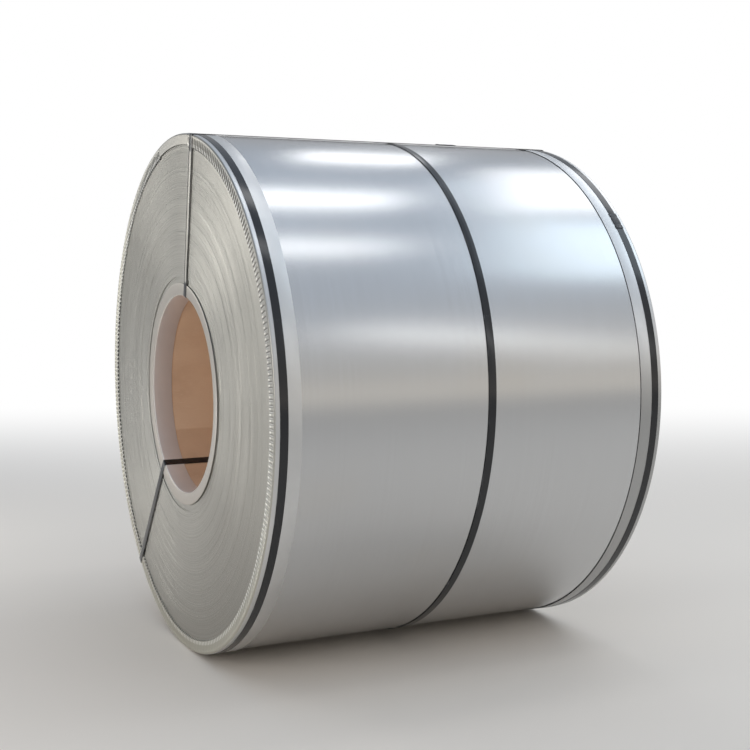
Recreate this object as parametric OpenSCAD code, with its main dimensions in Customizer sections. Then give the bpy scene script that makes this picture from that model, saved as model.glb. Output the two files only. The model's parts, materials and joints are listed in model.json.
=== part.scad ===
// Steel coil lying on its side: wound strip, bore liner, edge rings, band straps and eye straps.
// X runs along the coil's axis, with the end that shows at -X. Z is up, and z = 0 is the floor.
// Angles are measured about the axis, from +Y (the back) towards +Z (the top).

/* [Coil] */
// Outside diameter of the wound strip
coil_od = 1300; // [900:10:1900]
// Inside diameter of the wound strip
coil_id = 508; // [420:2:700]
// Width of the strip, which is the coil's length
strip_w = 1000; // [500:10:1850]
// Radial distance between the wrap lines that show on the ends
wrap_pitch = 9; // [6:0.5:24]
// Depth of the line between one group of wraps and the next
wrap_groove = 0.8; // [0.4:0.1:1.5]
// Most that a group of wraps lies back from the strip's edge
wrap_wander = 1.5; // [0:0.1:4]

/* [Bore liner] */
// Thickness of the board that lines the bore
liner_t = 2; // [1:0.5:8]
// Distance from the strip's edge to the liner's end
liner_inset = 4; // [0:1:30]

/* [Edge rings] */
// Sheet thickness of all four edge rings
ring_t = 1; // [0.6:0.1:2]
// Length of the outer ring's leg along the coil
outer_leg = 62; // [45:1:120]
// Width of the outer ring's flange on the end face
outer_flange = 35; // [29:1:70]
// Length of the inner ring's leg in the bore
inner_leg = 52; // [20:1:120]
// Width of the inner ring's flange on the end face
inner_flange = 31; // [15:1:60]
// Number of flutes crimped into the outer ring's flange
flute_count = 318; // [90:2:420]
// Depth of the flutes
flute_h = 2; // [0.4:0.1:3]
// Radial length of a flute, from the flange's inner edge
flute_l = 25; // [12:1:30]
// Angle where the plain lap at the outer ring's joint starts
lap_from = 76; // [60:1:90]
// Angle that the plain lap covers
lap_span = 22; // [6:1:40]
// Distance by which the lap's upper sheet stops short of the flange's inner edge
lap_trim = 8; // [2:1:20]

/* [Straps] */
// Width of the steel strapping
strap_w = 19; // [12:1:32]
// Thickness of the steel strapping
strap_t = 0.8; // [0.5:0.1:1.3]
// Distance from the coil's rim to the near edge of an end band
band_inset = 12; // [4:1:30]
// Distance of the middle band from the coil's middle, towards +X
middle_offset = 25; // [-100:1:100]
// Lean of the middle band out of square with the axis, its top towards +X
middle_lean = 1.4; // [-2.5:0.1:2.5]
// Angle of the upper eye strap, which is near the top
eye_upper = 100; // [85:1:130]
// Angle of the lower eye strap, behind and below the bore
eye_lower = -52; // [-75:1:-20]

/* [Strap seals] */
// Length of a seal along its strap
seal_l = 50; // [30:1:70]
// Sheet thickness of a seal
seal_t = 1; // [0.5:0.1:1.5]
// Angle of the seal on the right-hand band
seal_right_angle = 138; // [110:1:170]
// Angle of the seals on the left-hand and middle bands
seal_back_angle = 58; // [0:1:75]
// Distance of each eye strap's seal from the coil's middle
seal_eye_offset = 200; // [-200:5:200]

/* [Hidden] */
$fn = 96;

// Clearance between two pieces that lie on each other
seat_gap = 0.2;
// Clearance round the bore liner, which is a looser fit
liner_gap = 0.5;
// Overrun of every cut
cut_over = 1;
// Radius inside a bent corner of a strap
strap_bend = 2;
// Share of the flute pitch that is ridge
ridge_share = 0.5;
// Angle by which the two waves of the uneven wraps go on from one group to the next
wander_step = 37;
wander_beat = 83;
// Start of the slower wave on each end, so that the ends differ
left_phase = 0;
right_phase = 140;

coil_r = coil_od / 2;
bore_r = coil_id / 2;
half_w = strip_w / 2;
wraps = floor((coil_r - bore_r) / wrap_pitch);

// Seats of the outer rings, the end bands and the eye straps, from the coil outwards
outer_ring_top = coil_r + seat_gap + ring_t;
end_band_r = outer_ring_top + seat_gap;
end_band_top = end_band_r + strap_t;
eye_run_r = end_band_top + seat_gap;
axis_z = end_band_top;

// Seats in the bore, from the coil inwards
liner_r = bore_r - liner_gap;
inner_ring_bore = liner_r - liner_t - seat_gap - ring_t;
eye_bore_r = sqrt(pow(inner_ring_bore, 2) - pow(strap_w / 2, 2)) - seat_gap;

// Seats on the end faces, from the strip's edge outwards
flange_face = half_w + seat_gap + ring_t;
flute_face = flange_face + flute_h;
eye_face = flute_face + seat_gap;

// A leaning band goes round a slightly oval path, so its round bore is a little larger
middle_band_r = coil_r / cos(middle_lean) + strap_w / 2 * sin(abs(middle_lean)) + seat_gap;
end_band_x = flute_face - band_inset - strap_w / 2;

// Turns a shape made round the local Z axis so that it lies round the coil's axis
module on_axis() {
    translate([0, 0, axis_z]) rotate([90, 0, 90]) children();
}

// How far a group of wraps lies back from the strip's edge: two waves that never quite repeat
function wander(i, phase) = wrap_wander * (2 + sin(wander_step * i + phase) + sin(wander_beat * i)) / 4;

// The edge of one end, from the bore out: a flat for each group of wraps and a line between two groups
function end_edge(phase) = [
    for (i = [0 : wraps - 1])
        let (inner = bore_r + (coil_r - bore_r) * i / wraps,
             outer = bore_r + (coil_r - bore_r) * (i + 1) / wraps,
             back = half_w - wander(i, phase))
        each [[inner + (i == 0 ? 0 : wrap_groove), back],
              [outer - (i == wraps - 1 ? 0 : wrap_groove), back],
              if (i < wraps - 1) [outer, half_w - wrap_wander - wrap_groove]]
];

function reversed(list) = [for (i = [len(list) - 1 : -1 : 0]) list[i]];

module coil() {
    right = end_edge(right_phase);
    left = [for (p = end_edge(left_phase)) [p.x, -p.y]];
    color("silver") on_axis() rotate_extrude() polygon(concat(left, reversed(right)));
}

module bore_liner() {
    color("peru") on_axis() rotate_extrude()
        translate([liner_r - liner_t, -half_w + liner_inset]) square([liner_t, strip_w - 2 * liner_inset]);
}

// An angle section with its bent corner at the origin: a flange along +X and a leg along +Y
module angle_section(flange, leg, flange_t) {
    translate([ring_t, 0]) square([flange - ring_t, flange_t]);
    translate([0, ring_t]) square([ring_t, leg - ring_t]);
    intersection() {
        square(ring_t);
        translate([ring_t, ring_t]) circle(ring_t);
    }
}

// The valleys between the flutes as one star, which also trims the lap's upper sheet to its narrower width
module flute_valleys() {
    edge = outer_ring_top - outer_flange;
    pitch = 360 / flute_count;
    star = [for (i = [0 : flute_count - 1])
        let (a = i * pitch,
             lapped = a + pitch > lap_from && a < lap_from + lap_span,
             ridge = lapped ? edge + lap_trim : edge - cut_over,
             valley = lapped ? edge + lap_trim : edge + flute_l)
        each [for (corner = [[0, ridge], [ridge_share, ridge], [ridge_share, valley], [1, valley]])
            let (b = a + corner[0] * pitch) corner[1] * [cos(b), sin(b)]]];
    translate([0, 0, flange_face]) linear_extrude(flute_h + cut_over) polygon(star);
}

// An outer edge ring, made with its flange up
module outer_ring() {
    difference() {
        rotate_extrude() translate([outer_ring_top, flute_face]) rotate(180)
            angle_section(outer_flange, outer_leg, ring_t + flute_h);
        flute_valleys();
    }
}

// An inner edge ring, made with its flange up
module inner_ring() {
    rotate_extrude() translate([inner_ring_bore, flange_face]) mirror([0, 1])
        angle_section(inner_flange, inner_leg, ring_t);
}

module at_left_end() {
    on_axis() mirror([0, 0, 1]) children();
}

module outer_ring_left() {
    color("gainsboro") at_left_end() outer_ring();
}

module outer_ring_right() {
    color("gainsboro") on_axis() outer_ring();
}

module inner_ring_left() {
    color("gainsboro") at_left_end() inner_ring();
}

module inner_ring_right() {
    color("gainsboro") on_axis() inner_ring();
}

// A closed band of strapping round the axis, centred on the local plane z = 0
module band(r) {
    rotate_extrude() translate([r, -strap_w / 2]) square([strap_t, strap_w]);
}

// Places a shape made round the local Z axis at the middle band's lean
module at_middle_band() {
    on_axis() translate([0, 0, middle_offset]) rotate([middle_lean, 0, 0]) children();
}

module band_strap_left() {
    color("dimgray") on_axis() translate([0, 0, -end_band_x]) band(end_band_r);
}

module band_strap_middle() {
    color("dimgray") at_middle_band() band(middle_band_r);
}

module band_strap_right() {
    color("dimgray") on_axis() translate([0, 0, end_band_x]) band(end_band_r);
}

// A rectangle with round corners, given by its half length and its two edges in y
module round_rect(half_x, low, high, r) {
    translate([-half_x + r, low]) square([2 * (half_x - r), high - low]);
    translate([-half_x, low + r]) square([2 * half_x, high - low - 2 * r]);
    for (x = [-1, 1]) for (y = [low + r, high - r]) translate([x * (half_x - r), y]) circle(r);
}

// Turns a shape whose local Y points outwards from the axis to an angle about the axis
module at_angle(a) {
    translate([0, 0, axis_z]) rotate([a, 0, 0]) children();
}

// A closed loop of strapping through the bore and over both ends
module eye_strap(a) {
    at_angle(a) translate([0, 0, -strap_w / 2]) linear_extrude(strap_w) difference() {
        round_rect(eye_face + strap_t, eye_bore_r - strap_t, eye_run_r + strap_t, strap_bend + strap_t);
        round_rect(eye_face, eye_bore_r, eye_run_r, strap_bend);
    }
}

module eye_strap_upper() {
    color("dimgray") eye_strap(eye_upper);
}

module eye_strap_lower() {
    color("dimgray") eye_strap(eye_lower);
}

// Section of a seal on a strap of inner radius r: a plate over the strap, with a lip down each edge
module seal_section(r) {
    half = strap_w / 2 + seat_gap;
    plate_r = r + strap_t + seat_gap;
    translate([plate_r, -half - seal_t]) square([seal_t, 2 * (half + seal_t)]);
    for (y = [-half - seal_t, half]) translate([r, y]) square([plate_r - r + seal_t, seal_t]);
}

// A seal on a band of inner radius r, centred at an angle
module band_seal(r, a) {
    span = seal_l / r * 180 / PI;
    rotate(a - span / 2) rotate_extrude(angle = span) seal_section(r);
}

// A seal on the outer run of an eye strap, centred at x
module eye_seal(a, x) {
    at_angle(a) translate([x - seal_l / 2, 0, 0]) rotate([90, 0, 90]) linear_extrude(seal_l)
        seal_section(eye_run_r);
}

module seal_left() {
    color("gray") on_axis() translate([0, 0, -end_band_x]) band_seal(end_band_r, seal_back_angle);
}

module seal_middle() {
    color("gray") at_middle_band() band_seal(middle_band_r, seal_back_angle);
}

module seal_right() {
    color("gray") on_axis() translate([0, 0, end_band_x]) band_seal(end_band_r, seal_right_angle);
}

module seal_eye_upper() {
    color("gray") eye_seal(eye_upper, seal_eye_offset);
}

module seal_eye_lower() {
    color("gray") eye_seal(eye_lower, seal_eye_offset);
}

coil();
bore_liner();
outer_ring_left();
outer_ring_right();
inner_ring_left();
inner_ring_right();
band_strap_left();
band_strap_middle();
band_strap_right();
eye_strap_upper();
eye_strap_lower();
seal_left();
seal_middle();
seal_right();
seal_eye_upper();
seal_eye_lower();
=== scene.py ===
"""Looks of a steel coil: wound strip, edge rings, a lined bore, bands, eye straps and their seals."""

import json
import logging
import math
import random
from dataclasses import dataclass, field, replace
from enum import Enum
from typing import Any, Iterable, Mapping, Optional, Sequence, Union

import bmesh
import bpy
from bmesh.types import BMEdge, BMesh, BMFace, BMVert
from mathutils import Matrix, Vector


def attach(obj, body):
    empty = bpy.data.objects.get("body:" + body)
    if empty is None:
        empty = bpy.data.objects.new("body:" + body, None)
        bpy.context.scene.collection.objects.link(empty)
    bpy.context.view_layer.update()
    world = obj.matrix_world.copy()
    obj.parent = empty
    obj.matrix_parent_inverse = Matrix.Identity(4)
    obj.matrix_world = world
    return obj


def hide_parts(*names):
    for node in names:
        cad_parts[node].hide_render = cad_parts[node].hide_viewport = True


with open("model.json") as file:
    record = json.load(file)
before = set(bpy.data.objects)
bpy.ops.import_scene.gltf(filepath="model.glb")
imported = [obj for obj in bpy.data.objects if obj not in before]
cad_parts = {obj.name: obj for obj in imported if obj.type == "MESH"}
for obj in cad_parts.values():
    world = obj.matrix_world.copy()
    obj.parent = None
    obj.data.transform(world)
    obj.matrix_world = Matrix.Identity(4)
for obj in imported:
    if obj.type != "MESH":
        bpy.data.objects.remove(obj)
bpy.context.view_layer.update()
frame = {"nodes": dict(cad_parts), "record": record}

log = logging.getLogger("steel_coil")

Color = tuple[float, float, float, float]
Point = tuple[float, float, float]
Pair = tuple[float, float]
Ramp = tuple[tuple[float, Color], ...]
Socket = Union[str, int]
Term = Union["Signal", float, int, Sequence[float]]

TAU = math.tau
MM = 0.001


class End(Enum):
    """The two ends of the coil, by the sign of their place along its axis."""

    LEFT = -1
    RIGHT = 1


class Run(Enum):
    """How a strap runs under its seal."""

    ROUND = "round"
    STRAIGHT = "straight"


@dataclass(frozen=True)
class Span:
    """Reach of a CAD piece along the coil's axis and out from that axis, in metres."""

    left: float
    right: float
    inner: float
    outer: float

    @classmethod
    def of(cls, node: str, axis_z: float) -> "Span":
        """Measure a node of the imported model.

        Args:
            node: Name of the CAD node.
            axis_z: Height of the coil's axis.

        Returns:
            The reach of the node's mesh.
        """
        points = [vertex.co for vertex in frame["nodes"][node].data.vertices]
        radii = [math.hypot(point.y, point.z - axis_z) for point in points]
        along = [point.x for point in points]
        return cls(min(along), max(along), min(radii), max(radii))

    @property
    def face(self) -> float:
        """Distance from the coil's middle to the far side of a piece on one end."""
        return max(abs(self.left), abs(self.right))

    @property
    def foot(self) -> float:
        """Distance from the coil's middle to the near side of a piece on one end."""
        return min(abs(self.left), abs(self.right))

    @property
    def middle(self) -> float:
        """Middle of the reach along the axis."""
        return 0.5 * (self.left + self.right)


@dataclass(frozen=True)
class Seam:
    """A step in a turned surface, such as the loose end of the outer wrap."""

    angle: float
    radius: float
    change: float
    reach: float = 0.01 * MM


@dataclass(frozen=True)
class Corner:
    """A corner of a profile: its place along the axis, its radius about it, and how it is rounded."""

    x: float
    r: float
    bend: float = 0.0
    segments: int = 2


def add_object(name: str, data: bpy.types.ID) -> bpy.types.Object:
    """Put an object at the origin of the scene.

    Args:
        name: Name of the object.
        data: Its mesh, light or camera.

    Returns:
        The object.
    """
    added = bpy.data.objects.new(name, data)
    bpy.context.scene.collection.objects.link(added)
    return added


class Lathe:
    """Turns profiles round the coil's axis and finishes meshes as objects."""

    merge: float = 0.002 * MM

    def __init__(self, axis_z: float) -> None:
        """Keep the height of the axis."""
        self.axis_z = axis_z

    def radius(self, point: Vector) -> float:
        """Distance of a point from the axis."""
        return math.hypot(point.y, point.z - self.axis_z)

    def angle(self, point: Vector) -> float:
        """Angle of a point about the axis, from the back towards the top."""
        return math.atan2(point.z - self.axis_z, point.y) % TAU

    def point(self, x: float, r: float, angle: float) -> Vector:
        """Point at a place along the axis, a radius and an angle."""
        return Vector((x, r * math.cos(angle), self.axis_z + r * math.sin(angle)))

    def centre(self, x: float = 0.0) -> Vector:
        """Point on the axis."""
        return Vector((x, 0.0, self.axis_z))

    @staticmethod
    def round_way(angle: float) -> Vector:
        """Direction round the axis at an angle."""
        return Vector((0.0, -math.sin(angle), math.cos(angle)))

    def outline(self, corners: Sequence[Corner], angle: float = 0.0) -> BMesh:
        """Draw a closed profile as a wire with its corners rounded.

        Args:
            corners: The corners in order.
            angle: Angle about the axis of the plane that the profile lies in.

        Returns:
            A bmesh that holds the wire.
        """
        bm = bmesh.new()
        verts = [bm.verts.new(self.point(corner.x, corner.r, angle)) for corner in corners]
        bm.faces.new(verts)
        rounds = [(corner.bend, corner.segments) for corner in corners]
        for bend, segments in sorted({kind for kind in rounds if kind[0] > 0.0}):
            chosen = [vert for vert, kind in zip(verts, rounds) if kind == (bend, segments)]
            bmesh.ops.bevel(bm, geom=chosen, offset=bend, segments=segments, profile=0.5,
                            affect="VERTICES", material=-1)
        bmesh.ops.delete(bm, geom=list(bm.faces), context="FACES_ONLY")
        return bm

    def _ease_to(self, seam: Seam, verts: Sequence[BMVert], number: int, sectors: int) -> None:
        """Let the points of a sector run towards the step of a seam.

        Args:
            seam: The step.
            verts: Points of the sector, still in the first sector's place.
            number: Number of the sector round the circle.
            sectors: Number of sectors.
        """
        share = TAU / sectors
        for vert in verts:
            if abs(self.radius(vert.co) - seam.radius) < seam.reach:
                angle = self.angle(vert.co)
                part = ((angle - seam.angle + 0.5 * share) % TAU - 0.5 * share) / share
                radius = seam.radius + seam.change * (number + part) / sectors
                vert.co = self.point(vert.co.x, radius, angle)

    def turn(self, corners: Sequence[Corner], steps: int, seam: Optional[Seam] = None,
             sectors: int = 8) -> BMesh:
        """Turn a profile full circle: one sector is spun, and its copies close the circle.

        Args:
            corners: The corners of the profile in order.
            steps: Number of steps round the circle, a multiple of sectors.
            seam: Step to leave in the surface of one radius, if any.
            sectors: Number of sectors.

        Returns:
            A closed mesh with its faces outwards.
        """
        share, axis = TAU / sectors, (1.0, 0.0, 0.0)
        bm = self.outline(corners, seam.angle if seam else 0.0)
        bmesh.ops.spin(bm, geom=list(bm.verts) + list(bm.edges), cent=self.centre(), axis=axis, angle=share,
                       steps=steps // sectors, use_merge=False)
        sector = list(bm.verts) + list(bm.edges) + list(bm.faces)
        for number in range(sectors - 1, -1, -1):
            copied = bmesh.ops.duplicate(bm, geom=sector)["geom"] if number else sector
            verts = [item for item in copied if isinstance(item, BMVert)]
            if seam:
                self._ease_to(seam, verts, number, sectors)
            bmesh.ops.rotate(bm, cent=self.centre(), verts=verts,
                             matrix=Matrix.Rotation(number * share, 3, "X"))
        bmesh.ops.remove_doubles(bm, verts=list(bm.verts), dist=self.merge)
        open_edges = [edge for edge in bm.edges if edge.is_boundary]
        if open_edges:
            bmesh.ops.holes_fill(bm, edges=open_edges, sides=0)
        bmesh.ops.recalc_face_normals(bm, faces=list(bm.faces))
        return bm

    @staticmethod
    def finish(bm: BMesh, name: str, node: str, slot: str, material: bpy.types.Material,
               sharp: float = 35.0) -> bpy.types.Object:
        """Make an object of a mesh and seat it in the frame.

        Args:
            bm: The mesh, which is used up.
            name: Name of the piece.
            node: CAD node that the piece stands for.
            slot: Material slot of the record; not used.
            material: Finish of the piece.
            sharp: Angle in degrees above which an edge stays sharp.

        Returns:
            The object.
        """
        mesh = bpy.data.meshes.new(name)
        bm.to_mesh(mesh)
        bm.free()
        mesh.shade_smooth()
        mesh.set_sharp_from_angle(angle=math.radians(sharp))
        mesh.materials.append(material)
        piece = add_object(name, mesh)
        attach(piece, "root")
        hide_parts(node)
        triangles = sum(len(polygon.vertices) - 2 for polygon in mesh.polygons)
        log.info("%s: %d triangles", name, triangles)
        return piece


class Signal:
    """A shader socket that grows Math nodes as Python expressions use it."""

    def __init__(self, graph: "Graph", socket: bpy.types.NodeSocket) -> None:
        """Keep the socket and the graph that it belongs to."""
        self.graph = graph
        self.socket = socket

    def out(self, name: str) -> "Signal":
        """Another output of the same node."""
        return Signal(self.graph, self.socket.node.outputs[name])

    def _math(self, operation: str, *terms: Term) -> "Signal":
        """Result of a Math node on some terms."""
        return self.graph.node("ShaderNodeMath", {"operation": operation}, dict(enumerate(terms)))

    def __add__(self, other: Term) -> "Signal":
        """Sum."""
        return self._math("ADD", self, other)

    __radd__ = __add__

    def __sub__(self, other: Term) -> "Signal":
        """Difference."""
        return self._math("SUBTRACT", self, other)

    def __rsub__(self, other: Term) -> "Signal":
        """Difference from a number."""
        return self._math("SUBTRACT", other, self)

    def __mul__(self, other: Term) -> "Signal":
        """Product."""
        return self._math("MULTIPLY", self, other)

    __rmul__ = __mul__

    def __truediv__(self, other: Term) -> "Signal":
        """Quotient."""
        return self._math("DIVIDE", self, other)

    def __abs__(self) -> "Signal":
        """Size without its sign."""
        return self._math("ABSOLUTE", self)

    def root(self) -> "Signal":
        """Square root."""
        return self._math("SQRT", self)

    def most(self, other: Term) -> "Signal":
        """Larger of two values."""
        return self._math("MAXIMUM", self, other)

    def ease(self, low: float, high: float) -> "Signal":
        """Smooth step from 0 at low to 1 at high, which may be the smaller of the two.

        Args:
            low: Value that gives 0.
            high: Value that gives 1.

        Returns:
            A value between 0 and 1.
        """
        rising = float(low < high)
        return self.graph.node("ShaderNodeMapRange", {"interpolation_type": "SMOOTHSTEP"},
                               {"Value": self, "From Min": min(low, high), "From Max": max(low, high),
                                "To Min": 1.0 - rising, "To Max": rising})

    def inside(self, limit: float, depths: Pair) -> "Signal":
        """Smooth step between two depths inside a limit."""
        return self.ease(limit - depths[0], limit - depths[1])


@dataclass(frozen=True)
class Mottle:
    """A noise, and the limits between which it lets a colour in.

    Attributes:
        waves: Waves per metre along each axis, or along the radius alone where it draws rings.
        layers: Number of finer layers.
        strength: Strength of the finer layers.
        low: Value that lets nothing in.
        high: Value that lets most in.
        share: The most that is let in.
        rough: How far it roughens the surface.
    """

    waves: tuple[float, ...]
    layers: float = 2.0
    strength: float = 0.5
    low: float = 0.0
    high: float = 1.0
    share: float = 1.0
    rough: float = 0.0

    def mask(self, noise: Signal) -> Signal:
        """How far a noise lets a colour in."""
        eased = noise.ease(self.low, self.high)
        return eased if self.share == 1.0 else eased * self.share

    def reversed(self) -> "Mottle":
        """The same noise with its first and last axes changed over."""
        return replace(self, waves=self.waves[::-1])


class Graph:
    """The node tree of a finish or of the world."""

    def __init__(self, tree: bpy.types.NodeTree) -> None:
        """Start with an empty tree."""
        self.tree = tree
        tree.nodes.clear()

    def node(self, kind: str, settings: Optional[Mapping[str, Any]] = None,
             inputs: Optional[Mapping[Socket, Term]] = None, output: Socket = 0) -> Signal:
        """Add a node.

        Args:
            kind: Type of the node.
            settings: Its settings, set first; stops are the stops of a ramp.
            inputs: Values or links of its sockets by name or place.
            output: Output to return.

        Returns:
            The chosen output.
        """
        node = self.tree.nodes.new(kind)
        for key, value in (settings or {}).items():
            if key == "stops":
                ramp = node.color_ramp.elements
                while len(ramp) < len(value):
                    ramp.new(1.0)
                for element, (position, color) in zip(ramp, value):
                    element.position, element.color = position, color
            else:
                setattr(node, key, value)
        for key, value in (inputs or {}).items():
            if isinstance(value, Signal):
                self.tree.links.new(value.socket, node.inputs[key])
            else:
                node.inputs[key].default_value = value
        return Signal(self, node.outputs[output] if len(node.outputs) else node.inputs[0])

    def place(self, location: Point = (0.0, 0.0, 0.0), turn: Point = (0.0, 0.0, 0.0)) -> Signal:
        """Object coordinates, centred on a point and then turned.

        Args:
            location: Point that becomes the middle.
            turn: Angles about the three axes.

        Returns:
            The coordinates as a vector.
        """
        spot = self.node("ShaderNodeTexCoord", output="Object")
        moved = self.node("ShaderNodeVectorMath", {"operation": "SUBTRACT"}, {0: spot, 1: location})
        if any(turn):
            moved = self.node("ShaderNodeMapping", {"vector_type": "POINT"},
                              {"Vector": moved, "Rotation": turn})
        return moved

    def split(self, vector: Signal) -> tuple[Signal, Signal, Signal]:
        """The three parts of a vector."""
        parts = self.node("ShaderNodeSeparateXYZ", inputs={"Vector": vector})
        return parts.out("X"), parts.out("Y"), parts.out("Z")

    def noise(self, vector: Signal, pattern: Mottle) -> Signal:
        """Soft noise on stretched coordinates.

        Args:
            vector: Coordinates.
            pattern: Waves and layers of the noise.

        Returns:
            A value about 0.5.
        """
        spread = self.node("ShaderNodeVectorMath", {"operation": "MULTIPLY"}, {0: vector, 1: pattern.waves})
        return self.node("ShaderNodeTexNoise", None,
                         {"Vector": spread, "Scale": 1.0, "Detail": pattern.layers,
                          "Roughness": pattern.strength})

    def rings(self, radius: Signal, pattern: Mottle) -> Signal:
        """Noise that changes only with the radius, so that it draws rings."""
        return self.node("ShaderNodeTexNoise", {"noise_dimensions": "1D"},
                         {"W": radius * pattern.waves[0], "Scale": 1.0, "Detail": pattern.layers,
                          "Roughness": pattern.strength})

    def mix(self, factor: Term, first: Term, second: Term) -> Signal:
        """Colour between two colours."""
        return self.node("ShaderNodeMix", {"data_type": "RGBA"}, {0: factor, 6: first, 7: second}, output=2)

    def layer(self, spot: Signal, pattern: Mottle, under: Term, over: Term) -> Signal:
        """Colour laid over another where a noise lets it in."""
        return self.mix(pattern.mask(self.noise(spot, pattern)), under, over)

    def bump(self, height: Signal, distance: float, strength: float,
             under: Optional[Signal] = None) -> Signal:
        """Normal of a bumpy surface.

        Args:
            height: Height between 0 and 1.
            distance: Real depth of the relief in metres.
            strength: Strength of the effect.
            under: Normal of a coarser relief below this one.

        Returns:
            The normal.
        """
        inputs: dict[Socket, Term] = {"Height": height, "Distance": distance, "Strength": strength}
        if under:
            inputs["Normal"] = under
        return self.node("ShaderNodeBump", None, inputs)

    def surface(self, sockets: Mapping[Socket, Term]) -> None:
        """End the graph in a Principled shader with these sockets."""
        shader = self.node("ShaderNodeBsdfPrincipled", None, sockets)
        self.node("ShaderNodeOutputMaterial", None, {"Surface": shader})


def new_graph(name: str) -> tuple[bpy.types.Material, Graph]:
    """Start a material.

    Args:
        name: Name of the material.

    Returns:
        The material and its empty graph.
    """
    material = bpy.data.materials.new(name)
    material.use_nodes = True
    return material, Graph(material.node_tree)


@dataclass(frozen=True)
class StripSteel:
    """Bright cold-rolled strip: satin on the outer wrap, with the edges of the wraps on the two ends."""

    axis_z: float
    half_w: float
    coil_r: float
    bright: Color = (0.605, 0.61, 0.615, 1.0)
    dull: Color = (0.588, 0.589, 0.592, 1.0)
    film: Color = (0.59, 0.575, 0.55, 1.0)
    edge_light: Color = (0.44, 0.43, 0.395, 1.0)
    edge_dark: Color = (0.325, 0.315, 0.288, 1.0)
    end_depths: Pair = (3.0 * MM, 2.4 * MM)
    rim_depths: Pair = (0.2 * MM, 0.8 * MM)
    streak: Mottle = Mottle((260.0, 1.3, 1.3), 3.0, 0.65, low=0.30, high=0.72, rough=0.012)
    cloud: Mottle = Mottle((2.1, 2.6, 2.6), 3.0, low=0.48, high=0.75, share=0.55, rough=0.04)
    scuff: Mottle = Mottle((95.0, 9.0, 9.0), low=0.70, high=0.78, rough=0.025)
    scuff_share: float = 0.20
    brush: Mottle = Mottle((2600.0, 2.0, 2.0), 1.0)
    brush_share: float = 0.033
    wave: Mottle = Mottle((2.4, 1.7, 1.7), 1.0)
    wave_h: float = 1.2 * MM
    wave_strength: float = 0.55
    wobble: Mottle = Mottle((0.0, 7.0, 7.0), 1.0)
    wobble_h: float = 0.9 * MM
    wrap: Mottle = Mottle((520.0,), 3.0, 0.6, low=0.30, high=0.70, rough=0.05)
    group: Mottle = Mottle((60.0,), 1.0, 0.6, low=0.55, high=0.75, share=0.40)
    patch: Mottle = Mottle((0.0, 3.0, 3.0), 3.0, low=0.50, high=0.80, share=0.25)
    line: Mottle = Mottle((900.0,), 1.0, 0.6)
    line_share: float = 0.40
    hair: Mottle = Mottle((2400.0,), 1.0, 0.6)
    hair_share: float = 0.38
    edge_h: float = 0.55 * MM
    rough_outside: float = 0.22
    rough_ends: float = 0.26

    def make(self) -> bpy.types.Material:
        """Build the material.

        Returns:
            The material, which tells the outside and the ends apart by their place.
        """
        material, graph = new_graph("strip_steel")
        spot = graph.place((0.0, 0.0, self.axis_z))
        x, y, z = graph.split(spot)
        radius = (y * y + z * z).root()
        on_end = abs(x).inside(self.half_w, self.end_depths) * radius.inside(self.coil_r, self.rim_depths)

        streak, cloud = graph.noise(spot, self.streak), graph.noise(spot, self.cloud)
        scuff = self.scuff.mask(graph.noise(spot, self.scuff))
        outside = graph.mix(self.streak.mask(streak), self.dull, self.bright)
        outside = graph.mix(self.cloud.mask(cloud), outside, self.film)
        outside = graph.mix(scuff * self.scuff_share, outside, self.dull)

        wound = radius + graph.noise(spot, self.wobble) * self.wobble_h
        wrap, group = graph.rings(wound, self.wrap), graph.rings(wound, self.group)
        edges = graph.mix(self.wrap.mask(wrap), self.edge_dark, self.edge_light)
        edges = graph.mix(self.group.mask(group), edges, self.edge_dark)
        edges = graph.layer(spot, self.patch, edges, self.edge_dark)

        rough_outside = self.rough_outside + streak * self.streak.rough
        rough_outside = rough_outside + scuff * self.scuff.rough + cloud * self.cloud.rough
        rough_ends = self.rough_ends + wrap * self.wrap.rough
        broad = graph.bump(graph.noise(spot, self.wave), self.wave_h, self.wave_strength)
        lines = graph.rings(wound, self.line) * self.line_share
        lines = lines + graph.rings(wound, self.hair) * self.hair_share
        fine = graph.noise(spot, self.brush) * (1.0 - on_end) * self.brush_share + lines * on_end
        graph.surface({
            "Base Color": graph.mix(on_end, outside, edges),
            "Roughness": rough_outside * (1.0 - on_end) + rough_ends * on_end,
            "Metallic": 1.0,
            "Normal": graph.bump(fine, self.edge_h, 1.0, broad),
        })
        return material


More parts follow.
